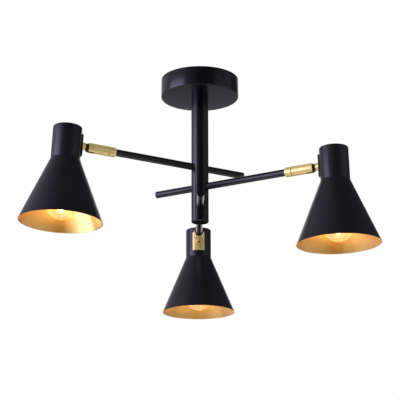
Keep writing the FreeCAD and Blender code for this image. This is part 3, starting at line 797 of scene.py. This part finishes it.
# %% Paths of the coil and its leads
COIL_RADIUS = 2.0 * MM
COIL_TOP = -84.0 * MM
COIL_BOTTOM = -100.6 * MM
MOUNT_END = -76.0 * MM
LEAD_APART = 0.6 * MM
LEAD_START = MOUNT_END + 1.5 * MM
LEAD_STRAIGHT = 3 * MM
LEAD_OUTSIDE = 2.6 * COIL_RADIUS
HOOK_REACH = 1.9 * COIL_RADIUS
HOOK_DEPTH = 0.8 * MM
HOOK_RISE = 1 * MM


def coil_points(turns=9, steps=14):
    points = []
    for step in range(turns * steps + 1):
        angle = 2 * math.pi * step / steps
        height = COIL_TOP + (COIL_BOTTOM - COIL_TOP) * step / (turns * steps)
        points.append((COIL_RADIUS * math.cos(angle), COIL_RADIUS * math.sin(angle), height))
    return points


def lead_points():
    """A short lead to the coil's top, and a long one that runs outside it to its bottom."""
    short = [
        (COIL_RADIUS, 0, COIL_TOP),
        (COIL_RADIUS, 0, COIL_TOP + LEAD_STRAIGHT),
        (LEAD_APART, 0, LEAD_START),
    ]
    long = [
        (COIL_RADIUS, 0, COIL_BOTTOM),
        (HOOK_REACH, 0, COIL_BOTTOM - HOOK_DEPTH),
        (LEAD_OUTSIDE, 0, COIL_BOTTOM + HOOK_RISE),
        (LEAD_OUTSIDE, 0, COIL_TOP),
        (-LEAD_APART, 0, LEAD_START),
    ]
    return {"short": short, "long": long}


print("coil from", COIL_TOP, "to", COIL_BOTTOM, "m, in", len(coil_points()), "points")

# %% [markdown]
# ## The mount, and all of it in the bulb
#
# The mount is one more turned piece: its foot sits in the bulb's neck and narrows to a stalk. Mount,
# coil and leads ride with the head in the cup's own frame, so they stay in the globe as it tilts.

# %% Mount, coil and leads
MOUNT_FOOT = 5.6 * MM
MOUNT_NECK = BULB_SEAT - 9.0 * MM
MOUNT_FLARE = 3.0 * MM
MOUNT_STALK = 1.5 * MM
MOUNT_TIP = 0.9 * MM
COIL_WIRE = 0.35 * MM
LEAD_WIRE = 0.25 * MM


def make_lit_bulb(name):
    cup, body = cup_matrix(name), "head_" + name
    coil = wire("filament_coil_" + name, coil_points(), COIL_WIRE, LIT_FILAMENT)
    fit(coil, cup, body, ["bulb_filament_" + name])
    outline = rounded([
        (0, BULB_SEAT, 0),
        (MOUNT_FOOT, BULB_SEAT, 0),
        (MOUNT_STALK, MOUNT_NECK, MOUNT_FLARE),
        (MOUNT_STALK, MOUNT_END, MOUNT_TIP),
        (0, MOUNT_END, 0),
    ])
    mount = lathe("filament_mount_" + name, outline, [CLEAR_GLASS], segments=40)
    fit(mount, cup, body, [])
    for label, points in lead_points().items():
        lead = wire("filament_lead_" + label + "_" + name, points, LEAD_WIRE, CAP_METAL)
        fit(lead, cup, body, [])
    return coil


for head in HEADS:
    print(make_lit_bulb(head).name, "of wire", 2 * COIL_WIRE, "m thick")

# %% [markdown]
# ## Making a screw
#
# The construction model keeps screws plain. Close by, a screw is told by its driver recess. A dark
# mask could paint one, but only a cut recess keeps its shadow from every side. So each screw is turned
# here with an eased head and then cut, a slot with a flat block and a key socket with a hexagonal bar,
# by a Boolean modifier whose result is kept.

# %% Screws and their recesses
EASED_SHARE = 0.3
SLOT_LENGTH = 6.0 * MM
SLOT_DEPTH = 0.5 * MM


def turned_screw(name, head_radius, head_height, shank_radius, shank_length, finish):
    """Screw along Z, with the face under its head at height 0."""
    outline = rounded([
        (0, head_height, 0),
        (head_radius, head_height, min(head_height, head_radius) * EASED_SHARE),
        (head_radius, 0, 0),
        (shank_radius, 0, 0),
        (shank_radius, -shank_length, 0),
        (0, -shank_length, 0),
    ], steps=4)
    return lathe(name, outline, [finish], segments=32)


def cut_away(made, cutter):
    """Take the cutter's volume out of a piece and keep the result as a plain mesh."""
    boolean = made.modifiers.new("recess", "BOOLEAN")
    boolean.operation = "DIFFERENCE"
    boolean.solver = "EXACT"
    boolean.object = cutter
    bpy.context.view_layer.update()
    evaluated = made.evaluated_get(bpy.context.evaluated_depsgraph_get())
    carved = bpy.data.meshes.new_from_object(evaluated)
    made.modifiers.clear()
    made.data = carved
    bpy.data.objects.remove(cutter)


def slot_cutter(width, top):
    """Block whose lower half reaches down into a head from its top."""
    shape = bmesh.new()
    bmesh.ops.create_cube(shape, size=1.0)
    bmesh.ops.scale(shape, vec=(SLOT_LENGTH, width, SLOT_DEPTH * 2), verts=shape.verts)
    bmesh.ops.translate(shape, vec=(0, 0, top), verts=shape.verts)
    return piece("slot_cutter", shape, [])


def key_cutter(radius, top, depth):
    """Hexagonal bar whose lower half reaches down into a screw from its top."""
    shape = bmesh.new()
    sizes = {"segments": 6, "radius1": radius, "radius2": radius, "depth": depth * 2}
    bmesh.ops.create_cone(shape, cap_ends=True, **sizes)
    bmesh.ops.translate(shape, vec=(0, 0, top), verts=shape.verts)
    return piece("key_cutter", shape, [])


print("screw helpers ready, with slots", SLOT_DEPTH, "m deep")

# %% [markdown]
# ## Seating screws
#
# The same screw often sits in two places. It is made once, and its copies go into one mesh, because
# the construction model counts the two screws of a pivot or a plate as one piece. A screw's Z axis is
# turned to where its head faces, and its slot is left at a chance angle, as a real one is.

# %% Seats and copies
def copies(name, original, matrices, body, nodes):
    """One piece that holds a copy of the original at each matrix."""
    shape = bmesh.new()
    for matrix in matrices:
        mesh = original.data.copy()
        mesh.transform(matrix)
        shape.from_mesh(mesh)
        bpy.data.meshes.remove(mesh)
    made = piece(name, shape, list(original.data.materials))
    bpy.data.objects.remove(original)
    return fit(made, Matrix.Identity(4), body, nodes)


def seat_matrix(point, direction, spin=0.0):
    """Matrix that puts Z along a direction at a point, with the slot turned by spin degrees."""
    turn = Vector(direction).to_track_quat("Z", "X").to_matrix().to_4x4()
    return Matrix.Translation(point) @ turn @ Matrix.Rotation(math.radians(spin), 4, "Z")


print("seat helpers ready")

# %% [markdown]
# ## Screws of the canopy
#
# Two dark screws on opposite sides hold the canopy to its bracket. Their heads stand proud of the
# canopy's side, and one shows in the photograph.

# %% Canopy screws
CANOPY_SCREW_AZIMUTH = -51.7
CANOPY_SCREW_DROP = -10.0 * MM
CANOPY_SCREW_HEAD = 0.9 * MM


def make_canopy_screws():
    screw = turned_screw(
        "canopy_screw", head_radius=2.6 * MM, head_height=CANOPY_SCREW_HEAD,
        shank_radius=1.9 * MM, shank_length=4.0 * MM, finish=DARK_STEEL,
    )
    cut_away(screw, slot_cutter(width=0.7 * MM, top=CANOPY_SCREW_HEAD))
    matrices = []
    for azimuth in (CANOPY_SCREW_AZIMUTH, CANOPY_SCREW_AZIMUTH + 180):
        direction = Vector((math.cos(math.radians(azimuth)), math.sin(math.radians(azimuth)), 0))
        seat = direction * CANOPY_RADIUS + Vector((0, 0, CANOPY_SCREW_DROP))
        matrices.append(seat_matrix(seat, direction, spin=35))
    nodes = ["canopy_screws"]
    return copies("canopy_screws_slotted", screw, matrices, "ceiling_body", nodes)


print(make_canopy_screws().name, "head", CANOPY_SCREW_HEAD, "m high")

# %% [markdown]
# ## Brass screws
#
# Each swivel has two stub screws on its pivot, one through each cheek of the fork. Two more hold each
# saddle plate to its cup, one above the other.

# %% Screws of pivots and plates
PIVOT_SEAT = 5.7 * MM
PIVOT_HEAD = 1.0 * MM
SADDLE_HEAD = 1.0 * MM
SADDLE_SCREWS = ((9.2 * MM, 20), (-10.8 * MM, 65))


def make_pivot_screws(name):
    screw = turned_screw(
        "pivot_screw", head_radius=2.4 * MM, head_height=PIVOT_HEAD,
        shank_radius=1.5 * MM, shank_length=4.3 * MM, finish=PLAIN_BRASS,
    )
    cut_away(screw, slot_cutter(width=0.6 * MM, top=PIVOT_HEAD))
    arm = arm_matrix(name)
    matrices = []
    for side in (-1, 1):
        seat = arm @ Vector((0, side * PIVOT_SEAT, 0))
        matrices.append(seat_matrix(seat, arm.to_3x3() @ Vector((0, side, 0)), spin=25))
    nodes = ["pivot_screws_" + name]
    return copies("pivot_screws_" + name + "_slotted", screw, matrices, "barrel_" + name, nodes)


def make_saddle_screws(name):
    screw = turned_screw(
        "saddle_screw", head_radius=2.3 * MM, head_height=SADDLE_HEAD,
        shank_radius=1.5 * MM, shank_length=5.6 * MM, finish=PLAIN_BRASS,
    )
    cut_away(screw, slot_cutter(width=0.6 * MM, top=SADDLE_HEAD))
    cup = cup_matrix(name)
    matrices = []
    for height, spin in SADDLE_SCREWS:
        seat = cup @ Vector((-PLATE_OUTER, 0, height))
        matrices.append(seat_matrix(seat, cup.to_3x3() @ Vector((-1, 0, 0)), spin))
    nodes = ["saddle_screws_" + name]
    return copies("saddle_screws_" + name + "_slotted", screw, matrices, "head_" + name, nodes)


for head in HEADS:
    print(make_pivot_screws(head).name, make_saddle_screws(head).name)

# %% [markdown]
# ## Key screws
#
# Two small screws without a head go down into each swivel from the top. One stops the turn, with its
# tip in a groove of the spigot, and the other grips the arm. Both are sunk a little below the brass
# round them, so that no edge of them stands out.

# %% Stop screws and grip screws
BARREL_RADIUS = 7.0 * MM
KEY_SCREW_TOP = BARREL_RADIUS - 0.25 * MM
KEY_BODY_SHARE = 0.9
KEY_TIP_SHARE = 0.1
STOP_BEHIND_PIVOT = PIVOT_STATION - 160.1 * MM
STOP_FOOT = 3.2 * MM
GRIP_BEHIND_PIVOT = PIVOT_STATION - 145.2 * MM
GRIP_FOOT = 5.2 * MM


def make_key_screw(name, label, behind_pivot, foot, body):
    """Key screw from its top down to a height foot above the arm's axis."""
    length = KEY_SCREW_TOP - foot
    straight = length * KEY_BODY_SHARE
    screw = turned_screw(
        label, head_radius=1.45 * MM, head_height=straight,
        shank_radius=1.4 * MM, shank_length=length * KEY_TIP_SHARE, finish=ZINC,
    )
    cut_away(screw, key_cutter(radius=0.75 * MM, top=straight, depth=0.9 * MM))
    seat = arm_matrix(name) @ Vector((-behind_pivot, 0, KEY_SCREW_TOP - straight))
    return copies(label, screw, [seat_matrix(seat, UP)], body, [])


for head in HEADS:
    stop = make_key_screw(head, "stop_screw_" + head, STOP_BEHIND_PIVOT, STOP_FOOT, "barrel_" + head)
    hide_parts("swivel_stop_screw_" + head)
    grip = make_key_screw(head, "grip_screw_" + head, GRIP_BEHIND_PIVOT, GRIP_FOOT, "ceiling_body")
    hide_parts("collar_set_screws")
    print(stop.name, grip.name)

# %% [markdown]
# ## Finishes of the construction model's own pieces
#
# Tubes, collars, barrels, tongues, plates and the inner pieces already have their right shape, so
# they keep it and only get a finish. The names say what each one is made of.

# %% Finish every piece that is kept
KEPT = {
    "stem_tube": STEM_BLACK,
    "stem_end_cap": STEM_BLACK,
    "arm_plugs": STEM_BLACK,
    "mounting_bracket": ZINC,
    "stem_nipple": ZINC,
    "stem_washer": ZINC,
    "stem_locknut": ZINC,
    "terminal_block": TERMINAL,
    "terminal_screw": ZINC,
    "earth_screw": PLAIN_BRASS,
}
for head in HEADS:
    KEPT["arm_tube_" + head] = STEM_BLACK
    KEPT["swivel_collar_" + head] = COLLAR_BRASS[head]
    KEPT["swivel_barrel_" + head] = BARREL_BRASS[head]
    KEPT["swivel_tongue_" + head] = TONGUE_BRASS[head]
    KEPT["saddle_plate_" + head] = PLATE_BRASS[head]
    KEPT["holder_bracket_" + head] = ZINC
    KEPT["holder_nipple_" + head] = ZINC
    KEPT["lampholder_" + head] = HOLDER
    KEPT["bulb_cap_" + head] = CAP_METAL

for node, finish in KEPT.items():
    mesh = frame["nodes"][node].data
    mesh.materials.clear()
    mesh.materials.append(finish)
unfinished = [name for name, node in frame["nodes"].items() if not node.hide_render and name not in KEPT]
print("finished", len(KEPT), "kept nodes; still plain:", unfinished)

# %% [markdown]
# ## White that lights nothing
#
# A product photograph on white needs a white that doesn't light the object. More light on a grey
# backdrop would also turn it white, but would wash out the black. So backdrop and world are white to
# the camera and dimmer to soft light, by the kind of ray that arrives.

# %% White surroundings
def light_path(finish, kind):
    return finish.add("ShaderNodeLightPath", output="Is " + kind + " Ray")


def white_surroundings(finish, mirrored, lit):
    """Strength that is 1 to the camera, mirrored in glossy metal and lit for soft light."""
    seen = light_path(finish, "Camera").maximum(light_path(finish, "Transmission"))
    glossy = light_path(finish, "Glossy")
    return seen + glossy * mirrored + (1.0 - seen - glossy) * lit


print("white surroundings ready")

# %% [markdown]
# ## Floor and backdrop
#
# The backdrop stands behind the light, and metal and glass mirror it as white too. The floor is a
# plain pale plane far below and fades out before its edge.

# %% Floor and backdrop
ROOM_LIT = 0.85
FLOOR_PLACE = (0, 0, -2.4)
FLOOR_SIZE = 5.6
FLOOR_FADE = (1.2, 2.7)
FLOOR_CLOUD = 50 * MM
BACKDROP_PLACE = (0, 3.0, 0.95)
BACKDROP_SIZE = 2.5


def make_plane(name, centre, size, turn, material):
    shape = bmesh.new()
    bmesh.ops.create_grid(shape, x_segments=1, y_segments=1, size=size / 2)
    plane = piece(name, shape, [material])
    plane.matrix_world = Matrix.Translation(centre) @ turn
    return plane


def make_floor_finish():
    """Pale floor that fades out towards its edge, so that no edge of it shows."""
    finish = new_finish("pale_floor")
    place = finish.place()
    cloud = finish.noise(place, FLOOR_CLOUD, detail=5.0)
    from_centre = finish.add("ShaderNodeVectorMath", {"operation": "LENGTH"}, {0: place}, output="Value")
    return finish.surface({
        "Base Color": finish.mix(cloud, colour(0.62, 0.62, 0.62), colour(0.66, 0.66, 0.65)),
        "Roughness": 0.6,
        "Alpha": finish.graded(from_centre, *FLOOR_FADE, 1.0, 0.0),
    })


def make_backdrop_finish():
    finish = new_finish("white_backdrop")
    strength = white_surroundings(finish, mirrored=1.0, lit=ROOM_LIT)
    glow = finish.add("ShaderNodeEmission", None, {"Color": colour(1, 1, 1), "Strength": strength})
    finish.add("ShaderNodeOutputMaterial", None, {"Surface": glow})
    return finish.owner


make_plane("floor", FLOOR_PLACE, FLOOR_SIZE, Matrix.Identity(4), make_floor_finish())
upright = Matrix.Rotation(math.pi / 2, 4, "X")
make_plane("backdrop", BACKDROP_PLACE, BACKDROP_SIZE, upright, make_backdrop_finish())
print("floor at", FLOOR_PLACE, "and backdrop at", BACKDROP_PLACE)

# %% [markdown]
# ## Surroundings
#
# A round tube shows its shape by what it mirrors, so in reflections the rest of the world is graded:
# brighter behind and on the left, dark in front. Glow low on both sides is what the gold insides of
# the shades mirror. As soft light the world comes mostly from above, and hardly from below, because
# soft light from there would also lift the middle of the gold and the undersides.

# %% World
LIT_FROM_ABOVE = 1.35
LIT_FROM_BELOW = 0.08
FRONT_MIRRORED = 0.02
LEFT_MIRRORED = 0.35
LEFT_LOST_LOW = 0.6
LEFT_LOW_MIRRORED = 0.22
RIGHT_LOW_MIRRORED = 0.34
BACK_MIRRORED = 0.26
MIRRORED_TINT = colour(0.84, 0.82, 1.0)


def mirrored_strength(finish, across, away, height):
    """What gloss mirrors, by how far a direction goes to the right, away from the viewer and up."""
    behind = finish.graded(away, start=-0.1, end=0.7, low=0.0, high=BACK_MIRRORED)
    not_right = finish.graded(across, start=0.15, end=0.6, low=1.0, high=0.2)
    left = finish.graded(across, start=-0.9, end=0.1, low=LEFT_MIRRORED, high=0.0)
    low = finish.graded(height, start=-0.3, end=0.3, low=1.0, high=0.0)
    left_low = finish.graded(across, start=-0.55, end=-0.15, low=LEFT_LOW_MIRRORED, high=0.0)
    left_low = left_low * finish.graded(across, start=-0.98, end=-0.84, low=0.1, high=1.0)
    right_low = finish.graded(across, start=0.1, end=0.8, low=0.0, high=RIGHT_LOW_MIRRORED)
    left = left * (1.0 - low * LEFT_LOST_LOW)
    return behind * not_right + left + low * (left_low + right_low) + FRONT_MIRRORED


def make_world():
    """White to the camera, graded and slightly blue in reflections, and brighter from above as light."""
    world = bpy.data.worlds.new("studio")
    finish = Finish(world)
    direction = finish.add("ShaderNodeTexCoord", output="Generated")
    across, away, height = (finish.part(direction, axis) for axis in "XYZ")
    mirrored = mirrored_strength(finish, across, away, height)
    lit = finish.graded(height, start=-0.45, end=0.6, low=LIT_FROM_BELOW, high=LIT_FROM_ABOVE)
    strength = white_surroundings(finish, mirrored, lit)
    tint = finish.mix(light_path(finish, "Glossy"), colour(1, 1, 1), MIRRORED_TINT)
    glow = finish.add("ShaderNodeBackground", None, {"Color": tint, "Strength": strength})
    finish.add("ShaderNodeOutputWorld", None, {"Surface": glow})
    bpy.context.scene.world = world
    return world


print("world:", make_world().name)

# %% [markdown]
# ## Lamps
#
# One large soft lamp from the left front makes the long pale streak on the left of every tube, as in
# the photograph. A weaker one on the right keeps that side from closing up. A small panel low in
# front of the left shade puts the pale band on the gold inside it. A small warm lamp inside each bulb
# does what the filament does, without the grain that a thin glowing wire gives.

# %% Lamps
LIGHT_CENTRE = (0, 0, -0.17)
LEFT_OPENING = (-0.183, -0.115, -0.251)
BULB_WATTS = 0.75
BULB_TINT = (1.0, 0.50, 0.14)
BULB_LAMP_RADIUS = 12 * MM


def make_soft_lamp(name, place, target, size, watts, tint):
    data = bpy.data.lights.new(name, "AREA")
    data.shape = "RECTANGLE"
    data.size, data.size_y = size
    data.energy = watts
    data.color = tint
    lamp = bpy.data.objects.new(name, data)
    turn = (Vector(target) - Vector(place)).to_track_quat("-Z", "Y").to_matrix().to_4x4()
    lamp.matrix_world = Matrix.Translation(place) @ turn
    lamp.visible_camera = False
    bpy.context.scene.collection.objects.link(lamp)
    return lamp


def make_bulb_lamp(name):
    data = bpy.data.lights.new("bulb_light_" + name, "POINT")
    data.energy = BULB_WATTS
    data.color = BULB_TINT
    data.shadow_soft_size = BULB_LAMP_RADIUS
    lamp = bpy.data.objects.new(data.name, data)
    bpy.context.scene.collection.objects.link(lamp)
    lamp.matrix_world = cup_matrix(name) @ Matrix.Translation((0, 0, GLOBE_CENTRE))
    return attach(lamp, "head_" + name)


make_soft_lamp(
    "key", place=(-1.13, -0.41, -0.19), target=LIGHT_CENTRE,
    size=(1.12, 1.16), watts=14.9, tint=(0.66, 0.62, 1.0),
)
make_soft_lamp(
    "fill", place=(1.88, -0.54, 0.05), target=LIGHT_CENTRE,
    size=(2.2, 1.8), watts=3.2, tint=(0.92, 0.90, 1.0),
)
make_soft_lamp(
    "panel", place=(-0.42, -0.50, -0.46), target=LEFT_OPENING,
    size=(0.30, 0.17), watts=0.13, tint=(0.82, 0.84, 1.0),
)
for head in HEADS:
    make_bulb_lamp(head)
print("lamps:", [item.name for item in bpy.data.lights])

# %% [markdown]
# ## Camera
#
# The camera stands 1.7 metres away and 0.66 metres below the ceiling, and looks up by not quite 16
# degrees with a long lens. These values come from fitting one camera to the outlines in the
# photograph. A new camera looks straight down, so a quarter turn first makes it level.

# %% Camera
CAMERA_PLACE = (0, -1.67535, -0.65705)
CAMERA_PITCH = 15.70
CAMERA_ROLL = -0.128
LENS_MM = 107.48
SENSOR_MM = 36.0
QUARTER_TURN = 90


def make_camera():
    data = bpy.data.cameras.new("camera")
    data.sensor_width = SENSOR_MM
    data.lens = LENS_MM
    camera = bpy.data.objects.new("camera", data)
    pitch = Matrix.Rotation(math.radians(QUARTER_TURN + CAMERA_PITCH), 4, "X")
    roll = Matrix.Rotation(math.radians(CAMERA_ROLL), 4, "Z")
    camera.matrix_world = Matrix.Translation(CAMERA_PLACE) @ pitch @ roll
    bpy.context.scene.collection.objects.link(camera)
    bpy.context.scene.camera = camera
    return camera


bpy.context.scene.view_settings.view_transform = "Standard"
print("camera lens", make_camera().data.lens, "mm")
